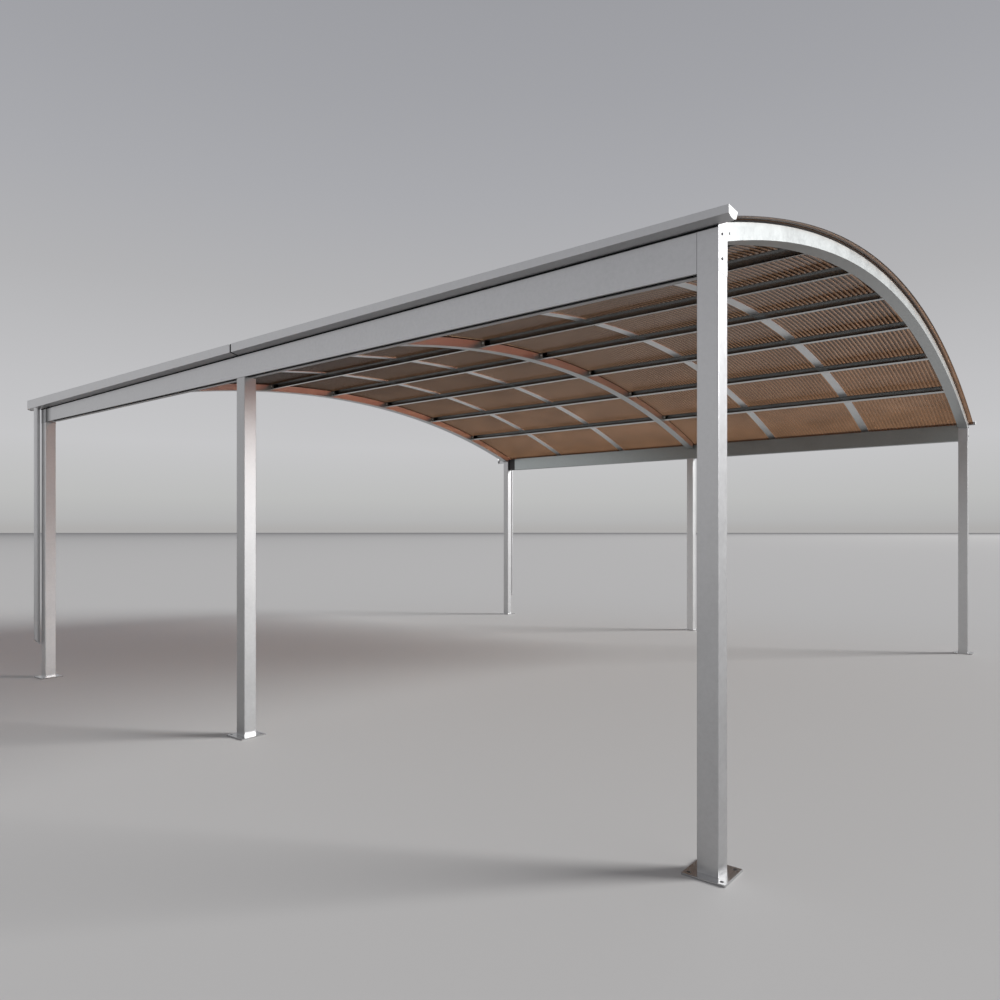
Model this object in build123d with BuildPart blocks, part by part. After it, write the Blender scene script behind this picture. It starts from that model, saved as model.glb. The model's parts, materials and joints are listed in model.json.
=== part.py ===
from build123d import *
import math
import os

# Free-standing carport: six square posts on base plates, two long eaves beams,
# three arched tubes, seven purlins and a corrugated translucent roof with a
# gutter and a downpipe along each eave.
#
# Frame: +X runs along the length, towards the end with no downpipes, +Y from
# the front row of posts to the rear row, +Z up. The origin is on the ground
# under the middle of the whole outline. Millimetres.

# ---------------------------------------------------------------- plan sizes
post = 80.0            # square tube of the posts
bay = 2875.0           # post spacing along the length
depth = 6250.0         # over the outer faces of the two post rows
row = depth / 2        # outer face of a post row
inner = row - post     # inner face of a post row
mid_x = 50.5           # the post grid stands this far along from the middle of
                       # the outline, as the gutters run further past one end

# ------------------------------------------------------------------- heights
plate = 160.0          # base plate side
plate_t = 8.0
anchor_pitch = 120.0   # anchor holes in a base plate
anchor_r = 7.0
beam_z0 = 2107.0       # underside of the eaves beams
beam_z1 = 2267.0
beam_w = 60.0          # the beams are folded channels, open below
beam_t = 4.0
beam_lip = 30.0        # the inner flange turns in this far along the underside
head_z0 = 2100.0       # seam between a corner post and its head

# ---------------------------------------------------------------- roof curve
r_arch = 9639.0        # top face of the arches
crown = 2795.0         # top of the arches over the middle
arch_t = 70.0          # depth of an arch tube
z_c = crown - r_arch   # centre of the roof circle, on Y = 0

purlin_w = 40.0
purlin_h = 50.0
purlin_t = 3.0         # C profiles, open towards the front row
purlin_step = 0.0841   # angle between purlins
purlin_shift = -0.0157 # the set stands a little towards the front
strip_w = 74.0         # joint profile under a sheet joint
strip_t = 3.0
cover_w = 46.0         # cap of the joint profile on top of the sheets
cover_t = 2.0
sheet_0 = 3.0          # underside of the sheets above the arches
sheet_1 = 10.5         # top of the sheets above the arches
panel = 985.0          # width of one roof sheet
eave = 3145.0          # lower edge of the sheets, from the middle
strip_end = 3120.0     # the joint profiles stop over the beams

# ------------------------------------------------------------------- gutters
gut_out = row + 50.0   # front face of a gutter
gut_top = 2300.0
gut_front = 2272.0     # bottom edge of the gutter's face at its high end
gut_back = 2261.0      # bottom edge against the beam at the high end
gut_right = mid_x + 2969.0
gut_left = mid_x - 3070.0
gut_joint = mid_x - 25.0
fall = 43.0 / (gut_right - gut_left)
wall = 2.0
cap_t = 3.0
joint_gap = 14.0       # between the two lengths of a gutter

pipe_r = 23.0
pipe_y = row + 25.0
front_pipe_x = mid_x - 2936.0
rear_pipe_x = mid_x - 2850.0
pipe_end = 293.0       # middle of the slanted outlet, which opens outwards

sleeve = 110.0         # dark slip joint at the left end of each beam

parts = []


def roof_z(r, y):
    # height of the roof circle of radius r at the distance y from the middle
    return z_c + math.sqrt(r * r - y * y)


def arc_points(r, y0, y1):
    ym = (y0 + y1) / 2
    return (y0, roof_z(r, y0)), (ym, roof_z(r, ym)), (y1, roof_z(r, y1))


def finish(solid, name):
    solid.label = name
    parts.append((solid, name))


post_x = {"right": mid_x + bay, "middle": mid_x, "left": mid_x - bay}
row_y = {"front": -(row - post / 2), "rear": row - post / 2}
side_of = {"front": -1, "rear": 1}

# --------------------------------------------------------- posts and footings
for row_name, y in row_y.items():
    for end_name, x in post_x.items():
        top = beam_z0 if end_name == "middle" else head_z0
        with BuildPart() as one_post:
            with BuildSketch(Plane.XY.offset(plate_t)):
                with Locations((x, y)):
                    RectangleRounded(post, post, 4)
            extrude(amount=top - plate_t)
        finish(one_post.part, f"post_{row_name}_{end_name}")

    with BuildPart() as plates:
        with BuildSketch():
            with Locations(*((x, y) for x in post_x.values())):
                Rectangle(plate, plate)
                with GridLocations(anchor_pitch, anchor_pitch, 2, 2):
                    Circle(anchor_r, mode=Mode.SUBTRACT)
        extrude(amount=plate_t)
        chamfer([f.outer_wire().edges() for f in plates.faces().filter_by(Plane.XY).group_by(Axis.Z)[-1]], 1.0)
    finish(plates.part, f"base_plates_{row_name}")

# ------------------------------------------- corner heads, cut by the roof line
for row_name, side in side_of.items():
    for end_name in ("right", "left"):
        y_in, y_out = sorted((side * inner, side * row))
        with BuildPart() as head:
            with BuildSketch(Plane.YZ.offset(post_x[end_name] - post / 2)):
                with BuildLine():
                    Polyline(
                        (y_in, roof_z(r_arch, y_in)),
                        (y_in, head_z0),
                        (y_out, head_z0),
                        (y_out, roof_z(r_arch, y_out)),
                    )
                    ThreePointArc(*arc_points(r_arch, y_out, y_in))
                make_face()
            extrude(amount=post)
            # eased edges show the seams to the post below and to the beam
            outer_x = post_x[end_name] + (post / 2 if end_name == "right" else -post / 2)
            beam_x = post_x[end_name] - (post / 2 if end_name == "right" else -post / 2)
            seam = head.edges().filter_by(Axis.Y).filter_by_position(Axis.X, outer_x - 1, outer_x + 1)
            seam = seam.filter_by_position(Axis.Z, head_z0 - 1, head_z0 + 1)
            joint = head.edges().filter_by(Axis.Z).filter_by_position(Axis.X, beam_x - 1, beam_x + 1)
            joint = joint.filter_by_position(Axis.Y, side * row - 1, side * row + 1)
            chamfer(seam + joint, 1.5)
        finish(head.part, f"corner_head_{row_name}_{end_name}")

# -------------------------------------------------------------- eaves beams
beam_left = mid_x - (bay - post / 2)
beam_right = mid_x + (bay - post / 2)
beam_mid_z = (beam_z0 + beam_z1) / 2
beam_h = beam_z1 - beam_z0
for row_name, side in side_of.items():
    y = side * (row - beam_w / 2)
    with BuildPart() as beam:
        with BuildSketch(Plane.YZ.offset(beam_left + sleeve)):
            with Locations((y, beam_mid_z)):
                RectangleRounded(beam_w, beam_h, 3)
            with Locations((y, beam_mid_z - beam_t)):
                Rectangle(beam_w - 2 * beam_t, beam_h, mode=Mode.SUBTRACT)
            with Locations((side * (row - beam_w + (beam_lip + 3) / 2), beam_z0 + beam_t / 2)):
                Rectangle(beam_lip - 3, beam_t)
        extrude(amount=beam_right - beam_left - sleeve)
    finish(beam.part, f"eaves_beam_{row_name}")

    with BuildPart() as slip:
        with BuildSketch(Plane.YZ.offset(beam_left)):
            with Locations((y, beam_mid_z)):
                Rectangle(beam_w - 4, beam_h - 4)
        extrude(amount=sleeve)
    finish(slip.part, f"beam_slip_joint_{row_name}")

# ------------------------------------------------------------------- arches
for end_name, x in post_x.items():
    top_arc = arc_points(r_arch, -inner, inner)
    low_arc = arc_points(r_arch - arch_t, inner, -inner)
    with BuildPart() as arch:
        with BuildSketch(Plane.YZ.offset(x - post / 2)):
            with BuildLine():
                ThreePointArc(*top_arc)
                Line(top_arc[2], low_arc[0])
                ThreePointArc(*low_arc)
                Line(low_arc[2], top_arc[0])
            make_face()
        extrude(amount=post)
    finish(arch.part, f"arch_{end_name}")

# ------------------------------------------------------------------ purlins
bay_clear = bay - post
for k in range(-3, 4):
    a = k * purlin_step + purlin_shift
    # the flat top keeps its two long edges on the roof circle
    r_mid = math.sqrt(r_arch * r_arch - purlin_w * purlin_w / 4) - purlin_h / 2
    y_mid, z_mid = r_mid * math.sin(a), z_c + r_mid * math.cos(a)
    with BuildPart() as purlin:
        for x in (mid_x + post / 2, mid_x - post / 2 - bay_clear):
            with BuildSketch(Plane.YZ.offset(x)):
                with Locations((y_mid, z_mid)):
                    Rectangle(purlin_w, purlin_h, rotation=-math.degrees(a))
                with Locations((y_mid - purlin_t * math.cos(a), z_mid + purlin_t * math.sin(a))):
                    Rectangle(
                        purlin_w, purlin_h - 2 * purlin_t, rotation=-math.degrees(a), mode=Mode.SUBTRACT
                    )
            extrude(amount=bay_clear)
    finish(purlin.part, f"purlin_{k + 4}")

# ------------------------------------------- profiles under the sheet joints
joints = (2 * panel, panel, 0.0, -panel, -2 * panel)
for i, dx in enumerate(joints):
    if dx == 0.0:
        continue  # the middle arch carries this joint
    top_arc = arc_points(r_arch + strip_t, -strip_end, strip_end)
    low_arc = arc_points(r_arch, strip_end, -strip_end)
    with BuildPart() as strip:
        with BuildSketch(Plane.YZ.offset(mid_x + dx - strip_w / 2)):
            with BuildLine():
                ThreePointArc(*top_arc)
                Line(top_arc[2], low_arc[0])
                ThreePointArc(*low_arc)
                Line(low_arc[2], top_arc[0])
            make_face()
        extrude(amount=strip_w)
    finish(strip.part, f"joint_strip_{i + 1}")

# ------------------------------------------------ caps over the sheet joints
top_arc = arc_points(r_arch + sheet_1 + cover_t, -eave, eave)
low_arc = arc_points(r_arch + sheet_1, eave, -eave)
with BuildPart() as covers:
    for dx in joints:
        with BuildSketch(Plane.YZ.offset(mid_x + dx - cover_w / 2)):
            with BuildLine():
                ThreePointArc(*top_arc)
                Line(top_arc[2], low_arc[0])
                ThreePointArc(*low_arc)
                Line(low_arc[2], top_arc[0])
            make_face()
        extrude(amount=cover_w)
finish(covers.part, "joint_covers")

# --------------------------------------------------------------- roof sheets
for i in range(6):
    top_arc = arc_points(r_arch + sheet_1, -eave, eave)
    low_arc = arc_points(r_arch + sheet_0, eave, -eave)
    with BuildPart() as sheet:
        with BuildSketch(Plane.YZ.offset(mid_x + (2 - i) * panel)):
            with BuildLine():
                ThreePointArc(*top_arc)
                Line(top_arc[2], low_arc[0])
                ThreePointArc(*low_arc)
                Line(low_arc[2], top_arc[0])
            make_face()
        extrude(amount=panel)
    finish(sheet.part, f"roof_sheet_{i + 1}")

# ------------------------------------------------------------------- gutters


def gutter_points(x, side):
    # level top, sloping bottom: the channel gets deeper towards the outlet
    f = (gut_right - x) * fall
    return [
        (side * gut_out, gut_top),
        (side * gut_out, gut_front - f),
        (side * row, gut_back - f),
        (side * row, 2266.0),
        (side * (row + wall), 2266.0),
        (side * (row + wall), gut_back + wall + 0.4 - f),
        (side * (gut_out - wall), gut_front + wall - 0.4 - f),
        (side * (gut_out - wall), gut_top),
    ]


pipe_x = {"front": front_pipe_x, "rear": rear_pipe_x}
for row_name, side in side_of.items():
    with BuildPart() as gutter:
        for x in (gut_joint + joint_gap / 2, gut_right):
            with BuildSketch(Plane.YZ.offset(x)):
                with BuildLine():
                    Polyline(*gutter_points(x, side), close=True)
                make_face()
        loft(ruled=True)
    finish(gutter.part, f"gutter_{row_name}_right")

    with BuildPart() as gutter:
        for x in (gut_left, gut_joint - joint_gap / 2):
            with BuildSketch(Plane.YZ.offset(x)):
                with BuildLine():
                    Polyline(*gutter_points(x, side), close=True)
                make_face()
        loft(ruled=True)
        with BuildSketch(Plane.XY.offset(gut_back - 60)):
            with Locations((pipe_x[row_name], side * pipe_y)):
                Circle(pipe_r - wall)
        extrude(amount=80, mode=Mode.SUBTRACT)
    finish(gutter.part, f"gutter_{row_name}_left")

    with BuildPart() as caps:
        for x in (gut_right, gut_left - cap_t):
            f = 0.0 if x == gut_right else (gut_right - gut_left) * fall
            with BuildSketch(Plane.YZ.offset(x)):
                with BuildLine():
                    Polyline(
                        (side * gut_out, gut_front - f),
                        (side * gut_out, gut_top),
                        (side * (row - 30), gut_top - 2),
                        (side * (row - 14), gut_back + 8 - f),
                    )
                    ThreePointArc(
                        (side * (row - 14), gut_back + 8 - f),
                        (side * (row + 20), gut_back + 1 - f),
                        (side * gut_out, gut_front - f),
                    )
                make_face()
            extrude(amount=cap_t)
    finish(caps.part, f"gutter_caps_{row_name}")

# ------------------------------------------------------- downpipes, cut slanted
for row_name, side in side_of.items():
    x = pipe_x[row_name]
    f = (gut_right - x) * fall
    slope = (gut_front - gut_back) / (gut_out - row)
    under = Plane(
        origin=(x, side * row, gut_back - f),
        x_dir=(1, 0, fall),
        z_dir=(-fall, -side * slope, 1),
    )
    outlet = Plane(origin=(x, side * pipe_y, pipe_end), x_dir=(1, 0, 0), z_dir=(0, -side, 1))
    with BuildPart() as pipe:
        with BuildSketch(Plane.XY.offset(pipe_end - 100)):
            with Locations((x, side * pipe_y)):
                Circle(pipe_r)
                Circle(pipe_r - wall, mode=Mode.SUBTRACT)
        extrude(amount=gut_top - pipe_end + 100)
        split(bisect_by=under, keep=Keep.BOTTOM)
        split(bisect_by=outlet, keep=Keep.TOP)
    finish(pipe.part, f"downpipe_{row_name}")

# -------------------------------------------------------------------- export
os.makedirs("parts", exist_ok=True)
for solid, name in parts:
    export_step(solid, f"parts/{name}.step")
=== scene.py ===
import json
import math

import bmesh
import bpy
import numpy as np
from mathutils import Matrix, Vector


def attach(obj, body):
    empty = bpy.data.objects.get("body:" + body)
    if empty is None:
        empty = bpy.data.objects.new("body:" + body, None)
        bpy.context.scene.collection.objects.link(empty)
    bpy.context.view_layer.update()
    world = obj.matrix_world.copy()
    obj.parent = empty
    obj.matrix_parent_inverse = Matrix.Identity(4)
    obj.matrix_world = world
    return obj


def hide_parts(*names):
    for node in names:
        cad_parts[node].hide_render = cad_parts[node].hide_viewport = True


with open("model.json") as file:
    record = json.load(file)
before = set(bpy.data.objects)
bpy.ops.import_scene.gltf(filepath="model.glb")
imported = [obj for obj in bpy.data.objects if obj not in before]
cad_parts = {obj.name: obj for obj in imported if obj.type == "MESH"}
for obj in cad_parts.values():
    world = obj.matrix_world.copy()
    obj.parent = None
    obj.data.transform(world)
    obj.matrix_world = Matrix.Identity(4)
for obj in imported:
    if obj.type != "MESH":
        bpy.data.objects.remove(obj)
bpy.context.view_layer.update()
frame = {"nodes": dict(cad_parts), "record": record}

scene = bpy.context.scene

# Metres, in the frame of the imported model. The same sizes as in the part.
MX = 0.0505                       # the post grid stands this far along +X
BAY = 2.875
ROW = 3.125                       # outer face of a post row
POST = 0.080
R_ARCH = 9.639
Z_C = 2.795 - R_ARCH              # centre of the roof circle, on Y = 0
SHEET_0, SHEET_1 = 0.003, 0.0105  # the sheets lie between these, above the arches
PANEL = 0.985
EAVE = 3.145
WAVES = 31                        # waves across one sheet
SKIN = 0.0011                     # thickness of the sheet


def roof_z(r, y):
    return Z_C + math.sqrt(r * r - y * y)


# ------------------------------------------------------------------ materials


def new_material(name):
    m = bpy.data.materials.new(name)
    m.use_nodes = True
    nt = m.node_tree
    for n in list(nt.nodes):
        nt.nodes.remove(n)
    out = nt.nodes.new("ShaderNodeOutputMaterial")
    return m, nt, out


def node(nt, kind, **values):
    n = nt.nodes.new(kind)
    for key, value in values.items():
        setattr(n, key, value)
    return n


def link(nt, a, b):
    nt.links.new(a, b)


def noise(nt, vector, scale, detail=4.0, rough=0.55):
    n = node(nt, "ShaderNodeTexNoise")
    n.inputs["Scale"].default_value = scale
    n.inputs["Detail"].default_value = detail
    n.inputs["Roughness"].default_value = rough
    link(nt, vector, n.inputs["Vector"])
    return n.outputs["Fac"]


def span(nt, value, a, b, low, high):
    n = node(nt, "ShaderNodeMapRange")
    n.inputs["From Min"].default_value = a
    n.inputs["From Max"].default_value = b
    n.inputs["To Min"].default_value = low
    n.inputs["To Max"].default_value = high
    link(nt, value, n.inputs["Value"])
    return n.outputs["Result"]


def ramp(nt, value, stops):
    n = node(nt, "ShaderNodeValToRGB")
    e = n.color_ramp.elements
    e[0].position, e[0].color = stops[0][0], (*stops[0][1], 1)
    e[1].position, e[1].color = stops[-1][0], (*stops[-1][1], 1)
    for at, colour in stops[1:-1]:
        s = e.new(at)
        s.color = (*colour, 1)
    link(nt, value, n.inputs["Fac"])
    return n.outputs["Color"]


def paint_shade_by_facing(nt, colour, axis, at, factor):
    """Paints light or shade into a colour: scales it on the faces that look along one axis, past the given part of
    their normal.
    """
    sep = node(nt, "ShaderNodeSeparateXYZ")
    link(nt, node(nt, "ShaderNodeTexCoord").outputs["Normal"], sep.inputs["Vector"])
    scale = node(nt, "ShaderNodeVectorMath", operation="SCALE")
    link(nt, colour, scale.inputs[0])
    link(nt, span(nt, sep.outputs[axis], at, at * 1.4, 1.0, factor), scale.inputs["Scale"])
    return scale.outputs["Vector"]


def inside(nt, colour, where):
    """Paints shade into the side of the purlins that is open to the front, fitted to the main view: most shade at the
    lower flange.
    """
    from_centre = node(nt, "ShaderNodeVectorMath", operation="MULTIPLY_ADD")
    link(nt, where, from_centre.inputs[0])
    from_centre.inputs[1].default_value = (0.0, 1.0, 1.0)
    from_centre.inputs[2].default_value = (0.0, 0.0, -Z_C)
    radius = node(nt, "ShaderNodeVectorMath", operation="LENGTH")
    link(nt, from_centre.outputs["Vector"], radius.inputs[0])
    depth = span(nt, radius.outputs["Value"], R_ARCH - 0.042, R_ARCH - 0.006, 0.05, 0.46)
    sep = node(nt, "ShaderNodeSeparateXYZ")
    link(nt, node(nt, "ShaderNodeTexCoord").outputs["Normal"], sep.inputs["Vector"])
    front = span(nt, sep.outputs["Y"], -0.5, -0.7, 0.0, 1.0)
    less = node(nt, "ShaderNodeMath", operation="SUBTRACT")
    less.inputs[0].default_value = 1.0
    link(nt, depth, less.inputs[1])
    take = node(nt, "ShaderNodeMath", operation="MULTIPLY")
    link(nt, less.outputs[0], take.inputs[0])
    link(nt, front, take.inputs[1])
    keep = node(nt, "ShaderNodeMath", operation="SUBTRACT")
    keep.inputs[0].default_value = 1.0
    link(nt, take.outputs[0], keep.inputs[1])
    scale = node(nt, "ShaderNodeVectorMath", operation="SCALE")
    link(nt, colour, scale.inputs[0])
    link(nt, keep.outputs[0], scale.inputs["Scale"])
    return scale.outputs["Vector"]


def steel(name, tone, metallic=0.9, rough=0.38, mottle=1.0, shading_paint=None):
    """Galvanised tube: cloudy zinc with small soft spangles, faint draw marks and a slightly uneven sheen."""
    m, nt, out = new_material(name)
    where = node(nt, "ShaderNodeTexCoord").outputs["Object"]
    cloud = noise(nt, where, 7.0, 5.0, 0.6)
    patch = noise(nt, where, 55.0, 3.0, 0.6)
    spangle = node(nt, "ShaderNodeTexVoronoi", feature="F1")
    spangle.inputs["Scale"].default_value = 95.0
    spangle.inputs["Randomness"].default_value = 1.0
    link(nt, where, spangle.inputs["Vector"])
    grain = noise(nt, where, 900.0, 2.0, 0.5)

    both = node(nt, "ShaderNodeMath", operation="ADD")
    link(nt, span(nt, cloud, 0.3, 0.7, -0.5 * mottle, 0.5 * mottle), both.inputs[0])
    link(nt, span(nt, patch, 0.3, 0.7, -0.5 * mottle, 0.5 * mottle), both.inputs[1])
    cells = node(nt, "ShaderNodeSeparateColor")
    link(nt, spangle.outputs["Color"], cells.inputs["Color"])
    more = node(nt, "ShaderNodeMath", operation="ADD")
    link(nt, both.outputs[0], more.inputs[0])
    link(nt, span(nt, cells.outputs["Red"], 0.0, 1.0, -0.3 * mottle, 0.3 * mottle), more.inputs[1])
    dark = tuple(c * 0.93 for c in tone)
    light = tuple(min(1.0, c * 1.06) for c in tone)
    colour = ramp(nt, span(nt, more.outputs[0], -1.2, 1.2, 0.0, 1.0), [(0.0, dark), (0.5, tone), (1.0, light)])
    # painted shade and painted light: the purlins' open side darkened, and faces that look one way scaled darker or
    # lighter
    if shading_paint == "inside":
        colour = inside(nt, colour, where)
    elif shading_paint:
        colour = paint_shade_by_facing(nt, colour, *shading_paint)

    p = node(nt, "ShaderNodeBsdfPrincipled")
    link(nt, colour, p.inputs["Base Color"])
    p.inputs["Metallic"].default_value = metallic
    link(nt, span(nt, more.outputs[0], -1.2, 1.2, rough - 0.03, rough + 0.04), p.inputs["Roughness"])
    bump = node(nt, "ShaderNodeBump")
    bump.inputs["Strength"].default_value = 0.12
    bump.inputs["Distance"].default_value = 0.0006
    height = node(nt, "ShaderNodeMath", operation="MULTIPLY_ADD")
    link(nt, patch, height.inputs[0])
    height.inputs[1].default_value = 1.0
    link(nt, span(nt, grain, 0.0, 1.0, 0.0, 0.12), height.inputs[2])
    link(nt, height.outputs[0], bump.inputs["Height"])
    link(nt, bump.outputs["Normal"], p.inputs["Normal"])
    link(nt, p.outputs["BSDF"], out.inputs["Surface"])
    return m


def polycarbonate(name):
    """Bronze see-through sheet with a soft gloss."""
    m, nt, out = new_material(name)
    where = node(nt, "ShaderNodeTexCoord").outputs["Object"]
    # painted light and shade: colour stripes that follow the waves and strengthen their shading, with an uneven film
    # over all
    sep = node(nt, "ShaderNodeSeparateXYZ")
    link(nt, where, sep.inputs["Vector"])
    turn = node(nt, "ShaderNodeMath", operation="MULTIPLY_ADD")
    link(nt, sep.outputs["X"], turn.inputs[0])
    turn.inputs[1].default_value = WAVES * 2 * math.pi / PANEL
    turn.inputs[2].default_value = -MX * WAVES * 2 * math.pi / PANEL
    wave = node(nt, "ShaderNodeMath", operation="COSINE")
    link(nt, turn.outputs[0], wave.inputs[0])
    film = noise(nt, where, 3.0, 4.0, 0.6)
    centred = node(nt, "ShaderNodeMath", operation="SUBTRACT")
    link(nt, span(nt, wave.outputs[0], -1.0, 1.0, 1.0, 0.0), centred.inputs[0])
    centred.inputs[1].default_value = 0.55
    # painted light, fitted to the main view: weaker painted stripes towards the rear eave
    scaled = node(nt, "ShaderNodeMath", operation="MULTIPLY_ADD")
    link(nt, centred.outputs[0], scaled.inputs[0])
    link(nt, span(nt, sep.outputs["Y"], 0.6, 2.5, 0.90, 0.14), scaled.inputs[1])
    link(nt, span(nt, film, 0.3, 0.7, 0.47, 0.63), scaled.inputs[2])
    colour = ramp(nt, scaled.outputs[0], [
        (0.00, (0.034, 0.018, 0.011)),
        (0.30, (0.130, 0.073, 0.042)),
        (0.62, (0.372, 0.214, 0.123)),
        (1.00, (0.585, 0.378, 0.245)),
    ])
    # painted light and shade, fitted to the main view: the sheets brighter and more orange towards the rear eave,
    # darker towards the front eave and away from the near end
    painted_light_scale = node(nt, "ShaderNodeVectorMath", operation="SCALE")
    link(nt, colour, painted_light_scale.inputs[0])
    near = node(nt, "ShaderNodeMath", operation="MULTIPLY")
    link(nt, span(nt, sep.outputs["X"], 1.5, 2.6, 0.93, 1.0), near.inputs[0])
    link(nt, span(nt, sep.outputs["Y"], -0.6, 0.9, 0.86, 1.0), near.inputs[1])
    both = node(nt, "ShaderNodeMath", operation="MULTIPLY")
    link(nt, near.outputs[0], both.inputs[0])
    link(nt, span(nt, sep.outputs["Y"], 0.9, 3.0, 1.0, 1.28), both.inputs[1])
    link(nt, both.outputs[0], painted_light_scale.inputs["Scale"])
    p = node(nt, "ShaderNodeBsdfPrincipled")
    link(nt, painted_light_scale.outputs["Vector"], p.inputs["Base Color"])
    p.inputs["Roughness"].default_value = 0.12
    p.inputs["IOR"].default_value = 1.22
    p.inputs["Transmission Weight"].default_value = 0.88
    # fitted to the main view: the overhang past the end arches throws only a faint shade on them
    apart = node(nt, "ShaderNodeMath", operation="SUBTRACT")
    link(nt, sep.outputs["X"], apart.inputs[0])
    apart.inputs[1].default_value = MX
    away = node(nt, "ShaderNodeMath", operation="ABSOLUTE")
    link(nt, apart.outputs[0], away.inputs[0])
    shade = node(nt, "ShaderNodeVectorMath", operation="MULTIPLY_ADD")
    link(nt, span(nt, away.outputs[0], 2.912, 2.920, 0.0, 1.0), shade.inputs[0])
    shade.inputs[1].default_value = (0.62, 0.72, 0.74)
    shade.inputs[2].default_value = (0.250, 0.112, 0.080)
    clear = node(nt, "ShaderNodeBsdfTransparent")
    link(nt, shade.outputs["Vector"], clear.inputs["Color"])
    path = node(nt, "ShaderNodeLightPath")
    mix = node(nt, "ShaderNodeMixShader")
    link(nt, path.outputs["Is Shadow Ray"], mix.inputs[0])
    link(nt, p.outputs["BSDF"], mix.inputs[1])
    link(nt, clear.outputs["BSDF"], mix.inputs[2])
    link(nt, mix.outputs["Shader"], out.inputs["Surface"])
    return m


def plain(name, tone, metallic, rough, speck=0.05, gloss=0.5):
    """A paint or metal with a faint cloudiness, for small pieces."""
    m, nt, out = new_material(name)
    where = node(nt, "ShaderNodeTexCoord").outputs["Object"]
    cloud = noise(nt, where, 60.0, 4.0, 0.6)
    dark = tuple(c * (1 - speck) for c in tone)
    light = tuple(min(1.0, c * (1 + speck)) for c in tone)
    p = node(nt, "ShaderNodeBsdfPrincipled")
    link(nt, ramp(nt, cloud, [(0.3, dark), (0.7, light)]), p.inputs["Base Color"])
    p.inputs["Metallic"].default_value = metallic
    p.inputs["Specular IOR Level"].default_value = gloss
    link(nt, span(nt, cloud, 0.3, 0.7, rough - 0.04, rough + 0.04), p.inputs["Roughness"])
    link(nt, p.outputs["BSDF"], out.inputs["Surface"])
    return m


ZINC = (0.490, 0.490, 0.495)
POST_STEEL = steel("post_steel", ZINC, 0.95, 0.37)
# painted shade: the beams' downward faces darker
BEAM_STEEL = steel("beam_steel", (0.470, 0.470, 0.475), 0.95, 0.32, shading_paint=("Z", -0.4, 0.62))
ARCH_STEEL = steel("arch_steel", (0.455, 0.473, 0.469), 0.95, 0.33)
# painted shade in the purlins' open side, darkest at the lower flange
PURLIN_STEEL = steel("purlin_steel", (0.58, 0.59, 0.585), 1.0, 0.24, 0.7, "inside")
PLATE_STEEL = steel("plate_steel", (0.52, 0.52, 0.52), 0.95, 0.22, 0.6)
# painted light: the gutter's downward faces lighter
GUTTER_METAL = steel("gutter_metal", (0.505, 0.505, 0.510), 0.90, 0.32, 0.5, ("Z", -0.4, 1.09))
CAP_METAL = steel("cap_metal", (0.56, 0.56, 0.56), 0.5, 0.45, 0.8)
PIPE_METAL = steel("pipe_metal", (0.52, 0.52, 0.525), 0.9, 0.34, 0.5)
JOINT_METAL = steel("joint_aluminium", (0.72, 0.735, 0.74), 0.8, 0.40, 0.4)
SLIP_DARK = plain("slip_dark", (0.035, 0.035, 0.038), 0.3, 0.5)
BOLT_METAL = plain("bolt_metal", (0.16, 0.16, 0.165), 0.8, 0.45)
PALE_BOLT = plain("pale_bolt", (0.42, 0.42, 0.42), 0.8, 0.42)
CLEAT_METAL = plain("cleat_metal", (0.38, 0.38, 0.375), 0.9, 0.40)
SCREW_METAL = plain("screw_metal", (0.85, 0.85, 0.84), 0.7, 0.35)
# black rubber of the gutter joints and arch seals, also used as painted shade in strips under the gutters and along
# the arches
RUBBER_AND_PAINTED_SHADE = plain("joint_rubber_and_painted_shade", (0.010, 0.010, 0.011), 0.0, 0.7, gloss=0.06)
SHEET_PLASTIC = polycarbonate("roof_polycarbonate")

# painted light and shade: lit and shaded copies of the post steel for single posts, and a darker rear beam, fitted to
# the main view only; the steel itself doesn't differ
REAR_BEAM = steel("beam_steel_shaded", (0.370, 0.398, 0.396), 0.95, 0.32)
FRONT_POST = steel("post_steel_painted_shade", (0.445, 0.445, 0.447), 0.95, 0.42)
PAINTED_LIGHT_POST = steel("post_steel_painted_light", (0.640, 0.640, 0.640), 0.95, 0.38)
MIDDLE_POST = steel("post_steel_painted_rear_left", (0.480, 0.480, 0.480), 0.95, 0.38)
REAR_POST = steel("post_steel_painted_rear_right", (0.485, 0.485, 0.487), 0.95, 0.35)


def slip_painted_shade(name, x0, x1):
    """Slip joint of the front beam with painted shade: dark where it leaves the head, brighter towards the beam."""
    m, nt, out = new_material(name)
    where = node(nt, "ShaderNodeTexCoord").outputs["Object"]
    sep = node(nt, "ShaderNodeSeparateXYZ")
    link(nt, where, sep.inputs["Vector"])
    along = span(nt, sep.outputs["X"], x0, x1, 0.0, 1.0)
    drift = node(nt, "ShaderNodeMath", operation="ADD")
    link(nt, along, drift.inputs[0])
    link(nt, span(nt, noise(nt, where, 40.0), 0.3, 0.7, -0.06, 0.06), drift.inputs[1])
    p = node(nt, "ShaderNodeBsdfPrincipled")
    link(nt, ramp(nt, drift.outputs[0], [
        (0.0, (0.05, 0.05, 0.05)), (0.35, (0.13, 0.13, 0.13)), (0.75, (0.40, 0.40, 0.40)), (1.0, (0.44, 0.44, 0.44)),
    ]), p.inputs["Base Color"])
    p.inputs["Metallic"].default_value = 0.9
    p.inputs["Roughness"].default_value = 0.36
    link(nt, p.outputs["BSDF"], out.inputs["Surface"])
    return m


SLIP_FRONT = slip_painted_shade("slip_front", MX - 2.835, MX - 2.725)
BY_NODE = {
    "eaves_beam_rear": REAR_BEAM,
    "post_front_middle": FRONT_POST,
    "post_front_left": PAINTED_LIGHT_POST,
    "post_rear_middle": PAINTED_LIGHT_POST,
    "post_rear_left": MIDDLE_POST,
    "post_rear_right": REAR_POST,
    "beam_slip_joint_front": SLIP_FRONT,
}

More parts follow.
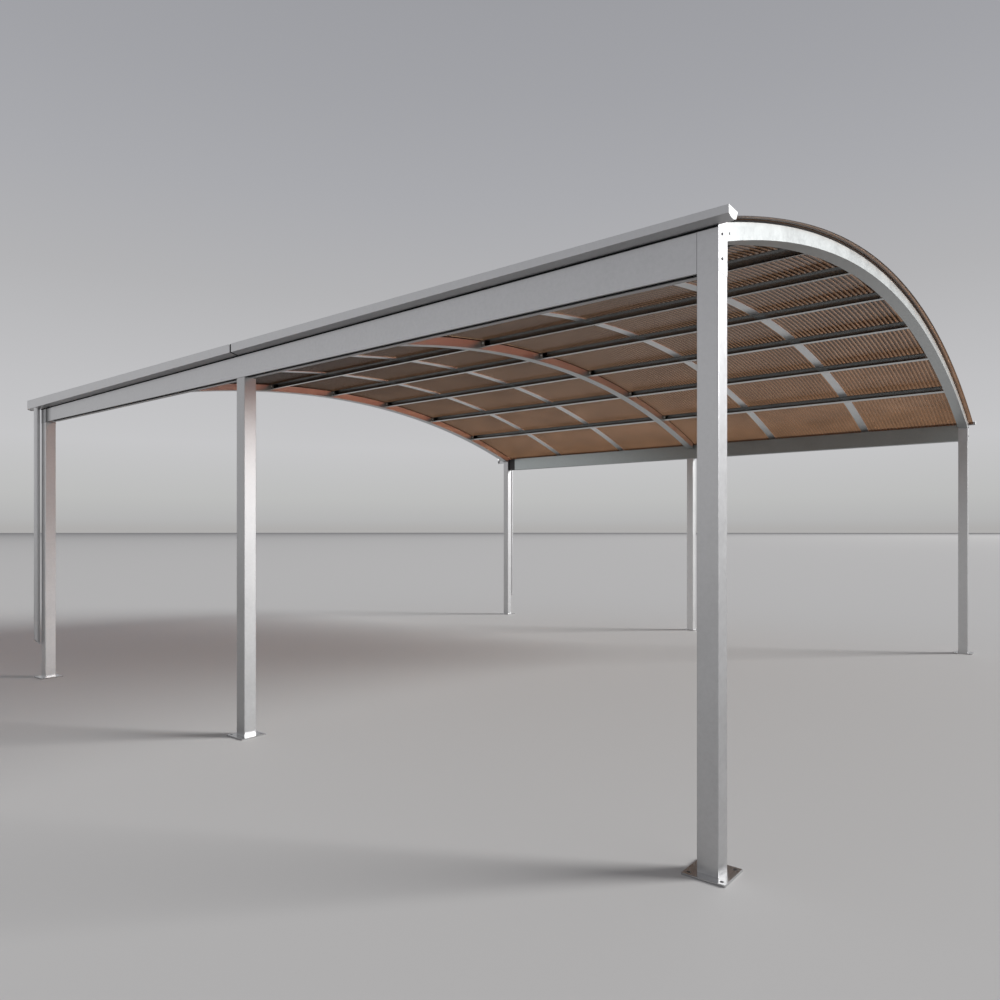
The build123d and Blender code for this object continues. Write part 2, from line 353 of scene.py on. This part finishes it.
BY_SLOT = {
    "post_steel": POST_STEEL,
    "beam_steel": BEAM_STEEL,
    "arch_steel": ARCH_STEEL,
    "purlin_steel": PURLIN_STEEL,
    "plate_steel": PLATE_STEEL,
    "gutter_metal": GUTTER_METAL,
    "cap_metal": CAP_METAL,
    "pipe_metal": PIPE_METAL,
    "joint_aluminium": JOINT_METAL,
    "slip_dark": SLIP_DARK,
    "roof_polycarbonate": SHEET_PLASTIC,
}
slot_of = {s["node"]: s["material_slot"] for s in frame["record"]["subparts"]}
for name, obj in frame["nodes"].items():
    for s in obj.material_slots:
        s.material = BY_NODE.get(name, BY_SLOT[slot_of[name]])

# ------------------------------------------------------------- mesh utilities


def mesh_object(name, verts, faces, material, smooth_deg=None):
    mesh = bpy.data.meshes.new(name)
    mesh.from_pydata(verts, [], faces)
    mesh.materials.append(material)
    if smooth_deg is not None:
        mesh.shade_smooth()
        mesh.set_sharp_from_angle(angle=math.radians(smooth_deg))
    mesh.update()
    obj = bpy.data.objects.new(name, mesh)
    scene.collection.objects.link(obj)
    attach(obj, "root")
    return obj


# --------------------------------------------------------- corrugated sheets


def corrugated(index, steps=8, rows=64):
    """One roof sheet as a waved skin bent along the arches: sine waves across X, the bend along Y."""
    x0 = MX + (2 - index) * PANEL
    count = WAVES * steps + 1
    amp = (SHEET_1 - SHEET_0 - SKIN) / 2
    mid = R_ARCH + (SHEET_0 + SHEET_1) / 2
    t = np.linspace(0.0, 1.0, count)
    x = x0 + 0.0006 + t * (PANEL - 0.0012)
    phase = t * WAVES * 2 * math.pi
    h = -amp * np.cos(phase)
    slope = amp * np.sin(phase) * WAVES * 2 * math.pi / PANEL
    n = np.stack([-slope, np.ones_like(slope)], 1)
    n /= np.linalg.norm(n, axis=1)[:, None]
    top = np.stack([x, h], 1) + n * SKIN / 2
    low = np.stack([x, h], 1) - n * SKIN / 2
    top[:, 0] = np.clip(top[:, 0], x0 + 0.0003, x0 + PANEL - 0.0003)
    low[:, 0] = np.clip(low[:, 0], x0 + 0.0003, x0 + PANEL - 0.0003)
    y = np.linspace(-EAVE, EAVE, rows + 1)
    verts = []
    for side in (top, low):
        r = mid + side[:, 1]
        z = Z_C + np.sqrt(r[None, :] ** 2 - y[:, None] ** 2)
        grid = np.empty((rows + 1, count, 3))
        grid[:, :, 0] = side[None, :, 0]
        grid[:, :, 1] = y[:, None]
        grid[:, :, 2] = z
        verts.append(grid.reshape(-1, 3))
    verts = np.concatenate(verts)
    base = (rows + 1) * count
    faces = []
    for j in range(rows):
        a = j * count
        b = a + count
        for i in range(count - 1):
            faces.append((a + i, a + i + 1, b + i + 1, b + i))
            faces.append((base + a + i, base + b + i, base + b + i + 1, base + a + i + 1))
        faces.append((a, b, base + b, base + a))
        e = count - 1
        faces.append((a + e, base + a + e, base + b + e, b + e))
    b = rows * count
    for i in range(count - 1):
        faces.append((i, base + i, base + i + 1, i + 1))
        faces.append((b + i, b + i + 1, base + b + i + 1, base + b + i))
    obj = mesh_object(f"waved_sheet_{index + 1}", verts.tolist(), faces, SHEET_PLASTIC, 60)
    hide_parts(f"roof_sheet_{index + 1}")
    return obj


for i in range(6):
    corrugated(i)

# ---------------------------------------------------------------------- bolts


def bolt_mesh(bm, centre, axis, radius, height, washer=0.0):
    """Adds a domed hexagon head, with a washer under it, that stands on a face with that outward axis."""
    axis = Vector(axis).normalized()
    side = axis.orthogonal().normalized()
    up = axis.cross(side)
    centre = Vector(centre)

    def ring(r, h, count, turn=0.0):
        return [
            bm.verts.new(centre + axis * h + (side * math.cos(a) + up * math.sin(a)) * r)
            for a in (turn + 2 * math.pi * k / count for k in range(count))
        ]

    def stack(rings):
        for a, b in zip(rings, rings[1:]):
            for k in range(len(a)):
                m = (k + 1) % len(a)
                bm.faces.new((a[k], a[m], b[m], b[k]))
        bm.faces.new(list(reversed(rings[0])))
        bm.faces.new(rings[-1])

    start = 0.0
    if washer:
        stack([ring(washer, 0.0, 24), ring(washer, 0.0012, 24), ring(washer * 0.94, 0.0016, 24)])
        start = 0.0016
    stack([
        ring(radius, start, 6),
        ring(radius, start + height * 0.82, 6),
        ring(radius * 0.86, start + height, 6),
    ])


def bolts(name, places, radius, height, washer, material):
    bm = bmesh.new()
    for centre, axis in places:
        bolt_mesh(bm, centre, axis, radius, height, washer)
    mesh = bpy.data.meshes.new(name)
    bm.to_mesh(mesh)
    bm.free()
    mesh.materials.append(material)
    obj = bpy.data.objects.new(name, mesh)
    scene.collection.objects.link(obj)
    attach(obj, "root")
    return obj


heads, arch_heads = [], []
for sx in (1, -1):
    x = MX + sx * (BAY + POST / 2)
    for sy in (-1, 1):
        for y, z in ((3.093, 2.238), (3.093, 2.152)):
            heads.append(((x, sy * y, z), (sx, 0, 0)))
        arch_heads.append(((x, sy * 3.0255, 2.261), (sx, 0, 0)))
bolts("corner_bolts", heads, 0.0050, 0.0040, 0.0, BOLT_METAL)
bolts("arch_end_bolts", arch_heads, 0.0045, 0.0030, 0.0, PALE_BOLT)

# ----------------------------------------------- cleats at the purlins' ends


def add_box(bm, origin, axes, lows, highs):
    """Adds a box with eased edges in a turned frame."""
    verts = []
    for i in range(8):
        p = Vector(origin)
        for k in range(3):
            p = p + Vector(axes[k]) * (highs[k] if i >> k & 1 else lows[k])
        verts.append(bm.verts.new(p))
    faces = []
    for quad in ((0, 2, 3, 1), (4, 5, 7, 6), (0, 1, 5, 4), (2, 6, 7, 3), (0, 4, 6, 2), (1, 3, 7, 5)):
        faces.append(bm.faces.new([verts[q] for q in quad]))
    edges = {e for f in faces for e in f.edges}
    bmesh.ops.bevel(bm, geom=list(edges), offset=0.0006, segments=1, affect="EDGES")


PURLIN_W, PURLIN_H, PURLIN_STEP, PURLIN_SHIFT = 0.040, 0.050, 0.0841, -0.0157
arch_x = {"right": MX + BAY, "middle": MX, "left": MX - BAY}
plates_bm = bmesh.new()
screws = []
for k in range(-3, 4):
    a = k * PURLIN_STEP + PURLIN_SHIFT
    r_mid = math.sqrt(R_ARCH ** 2 - PURLIN_W ** 2 / 4) - PURLIN_H / 2
    y, z = r_mid * math.sin(a), Z_C + r_mid * math.cos(a)
    along = (0, math.cos(a), -math.sin(a))
    radial = (0, math.sin(a), math.cos(a))
    for name, sides in (("right", (-1,)), ("middle", (1, -1)), ("left", (1,))):
        for side in sides:
            face = arch_x[name] + side * POST / 2
            axes = ((side, 0, 0), along, radial)
            # an angle: one leg closes the end of the channel, the other lies on the arch
            add_box(plates_bm, (face, y, z), axes, (0.0, -0.0198, -0.0218), (0.034, -0.0168, 0.0218))
            add_box(plates_bm, (face, y, z), axes, (0.0, -0.0166, -0.0218), (0.003, 0.0150, 0.0218))
            at = Vector((face + side * 0.018, y, z)) + Vector(along) * -0.0198 + Vector(radial) * 0.004
            screws.append((tuple(at), tuple(-c for c in along)))
bmesh.ops.recalc_face_normals(plates_bm, faces=plates_bm.faces)
plates_mesh = bpy.data.meshes.new("purlin_cleats")
plates_bm.to_mesh(plates_mesh)
plates_bm.free()
plates_mesh.materials.append(CLEAT_METAL)
plates = bpy.data.objects.new("purlin_cleats", plates_mesh)
scene.collection.objects.link(plates)
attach(plates, "root")
bolts("cleat_bolts", screws, 0.0065, 0.0050, 0.0090, SCREW_METAL)

# --------------------------------------- seals between the arches and the roof, partly painted shade of the gap under the sheets


def arch_seal(bm, face, side, a0, a1, steps):
    """A dark lip along the upper edge of an arch's flank, from one angle of the roof circle to another: a seal, and
    painted shade of the gap under the sheet.
    """
    low, high = R_ARCH - 0.0065, R_ARCH + 0.0024
    near, far = face - side * 0.0006, face + side * 0.0022
    rings = []
    for i in range(steps + 1):
        a = a0 + (a1 - a0) * i / steps
        rings.append([
            bm.verts.new((x, r * math.sin(a), Z_C + r * math.cos(a)))
            for x, r in ((near, low), (far, low + 0.0008), (far, high - 0.0008), (near, high))
        ])
    for p, q in zip(rings, rings[1:]):
        for k in range(4):
            m = (k + 1) % 4
            bm.faces.new((p[k], p[m], q[m], q[k]))
    bm.faces.new(rings[0])
    bm.faces.new(list(reversed(rings[-1])))


END_A = math.asin((ROW - POST - 0.004) / R_ARCH)
seal_bm = bmesh.new()
cuts = [-END_A]
for k in range(-3, 4):
    a = k * PURLIN_STEP + PURLIN_SHIFT
    cuts += [a - 0.0226 / R_ARCH, a + 0.0226 / R_ARCH]
cuts.append(END_A)
for name, x in arch_x.items():
    for side in (1, -1):
        if (name, side) in (("right", 1), ("left", -1)):
            arch_seal(seal_bm, x + side * POST / 2, side, -END_A, END_A, 96)
        else:
            for a0, a1 in zip(cuts[::2], cuts[1::2]):
                arch_seal(seal_bm, x + side * POST / 2, side, a0, a1, 12)
bmesh.ops.recalc_face_normals(seal_bm, faces=seal_bm.faces)
seal_mesh = bpy.data.meshes.new("arch_seals")
seal_bm.to_mesh(seal_mesh)
seal_bm.free()
seal_mesh.materials.append(RUBBER_AND_PAINTED_SHADE)
seals = bpy.data.objects.new("arch_seals", seal_mesh)
scene.collection.objects.link(seals)
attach(seals, "root")

# ------------------------------------------------ seals between gutter lengths
GUT_OUT, GUT_TOP, GUT_FRONT, GUT_BACK = 3.175, 2.300, 2.272, 2.261
GUT_RIGHT, GUT_LEFT, GUT_JOINT = MX + 2.969, MX - 3.070, MX - 0.025
FALL = 0.043 / (GUT_RIGHT - GUT_LEFT)


def gutter_seal(name, side):
    """A dark band that bridges the gap between the two lengths of a gutter, just inside their outer faces."""
    f = (GUT_RIGHT - GUT_JOINT) * FALL
    outer = [
        (GUT_OUT - 0.0012, GUT_TOP - 0.0015),
        (GUT_OUT - 0.0012, GUT_FRONT + 0.0012 - f),
        (ROW + 0.0012, GUT_BACK + 0.0012 - f),
        (ROW + 0.0012, 2.2650),
    ]
    inner = [
        (ROW + 0.0062, 2.2650),
        (ROW + 0.0062, GUT_BACK + 0.0075 - f),
        (GUT_OUT - 0.0062, GUT_FRONT + 0.0068 - f),
        (GUT_OUT - 0.0062, GUT_TOP - 0.0015),
    ]
    loop = outer + inner
    half = 0.00695
    verts = [(GUT_JOINT + s * half, side * y, z) for s in (-1, 1) for y, z in loop]
    n = len(loop)
    faces = [(i, (i + 1) % n, n + (i + 1) % n, n + i) for i in range(n)]
    faces += [(0, 7, 6, 1), (1, 6, 5, 2), (2, 5, 4, 3)]
    faces += [(n + 1, n + 6, n + 7, n + 0), (n + 2, n + 5, n + 6, n + 1), (n + 3, n + 4, n + 5, n + 2)]
    bm = bmesh.new()
    vs = [bm.verts.new(v) for v in verts]
    for quad in faces:
        bm.faces.new([vs[q] for q in quad])
    bmesh.ops.recalc_face_normals(bm, faces=bm.faces)
    bmesh.ops.bevel(bm, geom=list(bm.edges), offset=0.0004, segments=1, affect="EDGES")
    mesh = bpy.data.meshes.new(name)
    bm.to_mesh(mesh)
    bm.free()
    mesh.materials.append(RUBBER_AND_PAINTED_SHADE)
    obj = bpy.data.objects.new(name, mesh)
    scene.collection.objects.link(obj)
    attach(obj, "root")


gutter_seal("gutter_seal_front", -1)
gutter_seal("gutter_seal_rear", 1)


def gutter_shadow_strip(name, side):
    """A dark strip of painted shade under the back edge of a gutter, against the beam and the heads; it falls with the
    gutter.
    """
    count = 24
    verts, faces = [], []
    for i in range(count + 1):
        x = MX - 2.9145 + 5.829 * i / count
        edge = GUT_BACK - (GUT_RIGHT - x) * FALL
        verts += [
            (x, side * (ROW + 0.0002), edge - 0.0062),
            (x, side * (ROW + 0.0014), edge - 0.0062),
            (x, side * (ROW + 0.0030), edge - 0.0030),
            (x, side * (ROW + 0.0034), edge - 0.0002),
            (x, side * (ROW + 0.0002), edge - 0.0002),
        ]
    n = 5
    for i in range(count):
        for k in range(n):
            m = (k + 1) % n
            faces.append((i * n + k, i * n + m, (i + 1) * n + m, (i + 1) * n + k))
    faces.append(tuple(range(n)))
    faces.append(tuple(count * n + k for k in reversed(range(n))))
    if side > 0:
        faces = [tuple(reversed(f)) for f in faces]
    mesh_object(name, verts, faces, RUBBER_AND_PAINTED_SHADE)


gutter_shadow_strip("gutter_front_shadow_strip", -1)
gutter_shadow_strip("gutter_rear_shadow_strip", 1)

# --------------------------------------------------------------------- camera
cam = bpy.data.cameras.new("camera")
cam.sensor_width = 36.0
cam.lens = 27.0865
cam.shift_y = 0.0323
cam.clip_end = 4000.0
cam_obj = bpy.data.objects.new("camera", cam)
cam_obj.location = (3.9468 + MX, -5.6211, 1.2)
cam_obj.rotation_euler = (math.radians(90), 0, math.radians(38.648))
scene.collection.objects.link(cam_obj)
scene.camera = cam_obj

# ------------------------------------------------------------ floor and light
floor_mesh = bpy.data.meshes.new("floor")
S = 1500.0
floor_mesh.from_pydata([(-S, -S, 0), (S, -S, 0), (S, S, 0), (-S, S, 0)], [], [(0, 1, 2, 3)])
floor = bpy.data.objects.new("floor", floor_mesh)
scene.collection.objects.link(floor)
m, nt, out = new_material("floor_pale")
diffuse = node(nt, "ShaderNodeBsdfDiffuse")
diffuse.inputs["Color"].default_value = (0.600, 0.592, 0.583, 1)
gloss = node(nt, "ShaderNodeBsdfGlossy")
gloss.inputs["Color"].default_value = (1, 1, 1, 1)
gloss.inputs["Roughness"].default_value = 0.50
mix = node(nt, "ShaderNodeMixShader")
mix.inputs[0].default_value = 0.03
link(nt, diffuse.outputs["BSDF"], mix.inputs[1])
link(nt, gloss.outputs["BSDF"], mix.inputs[2])
link(nt, mix.outputs["Shader"], out.inputs["Surface"])
floor_mesh.materials.append(m)

world = bpy.data.worlds.new("studio")
scene.world = world
world.use_nodes = True
nt = world.node_tree
for n in list(nt.nodes):
    nt.nodes.remove(n)
out = nt.nodes.new("ShaderNodeOutputWorld")
back = nt.nodes.new("ShaderNodeBackground")
coord = nt.nodes.new("ShaderNodeTexCoord")
sep = nt.nodes.new("ShaderNodeSeparateXYZ")
link(nt, coord.outputs["Generated"], sep.inputs[0])
sky = ramp(nt, span(nt, sep.outputs["Z"], -0.05, 0.95, 0.0, 1.0), [
    (0.000, (0.425, 0.418, 0.410)),
    (0.055, (0.430, 0.424, 0.418)),
    (0.066, (0.462, 0.462, 0.462)),
    (0.093, (0.509, 0.512, 0.507)),
    (0.159, (0.565, 0.565, 0.576)),
    (0.223, (0.533, 0.533, 0.546)),
    (0.345, (0.450, 0.450, 0.462)),
    (0.454, (0.398, 0.402, 0.425)),
    (0.549, (0.360, 0.364, 0.388)),
    (0.620, (0.338, 0.342, 0.366)),
    (0.780, (0.250, 0.253, 0.270)),
    (1.000, (0.155, 0.157, 0.168)),
])
# fitted to the main view: the low band behind the camera is brighter
behind = node(nt, "ShaderNodeMath", operation="MULTIPLY")
link(nt, span(nt, sep.outputs["Y"], -0.65, -0.05, 0.78, 0.0), behind.inputs[0])
link(nt, span(nt, sep.outputs["Z"], 0.18, 0.50, 1.0, 0.0), behind.inputs[1])
lift = node(nt, "ShaderNodeMath", operation="ADD")
lift.inputs[0].default_value = 1.0
link(nt, behind.outputs[0], lift.inputs[1])
lifted = node(nt, "ShaderNodeVectorMath", operation="SCALE")
link(nt, sky, lifted.inputs[0])
link(nt, lift.outputs[0], lifted.inputs["Scale"])
link(nt, lifted.outputs["Vector"], back.inputs["Color"])
back.inputs["Strength"].default_value = 1.0
link(nt, back.outputs["Background"], out.inputs["Surface"])


def soft_box(name, azimuth, elevation, distance, width, height, power, tint=(1, 1, 1)):
    """A large soft light, far away, that faces the middle of the object."""
    lamp = bpy.data.lights.new(name, "AREA")
    lamp.shape = "ELLIPSE"
    lamp.size = width
    lamp.size_y = height
    lamp.energy = power * math.pi * distance * distance
    lamp.color = tint
    a, e = math.radians(azimuth), math.radians(elevation)
    d = Vector((math.cos(a) * math.cos(e), math.sin(a) * math.cos(e), math.sin(e)))
    obj = bpy.data.objects.new(name, lamp)
    obj.location = d * distance + Vector((0, 0, 1.2))
    obj.rotation_euler = d.to_track_quat("Z", "Y").to_euler()
    obj.visible_camera = False
    obj.visible_transmission = False
    scene.collection.objects.link(obj)
    return obj


soft_box("key", 38.3, 22.4, 600.0, 215.0, 270.0, 3.80)

scene.view_settings.view_transform = "Standard"
scene.view_settings.look = "None"
scene.view_settings.exposure = 0.0
scene.view_settings.gamma = 1.0
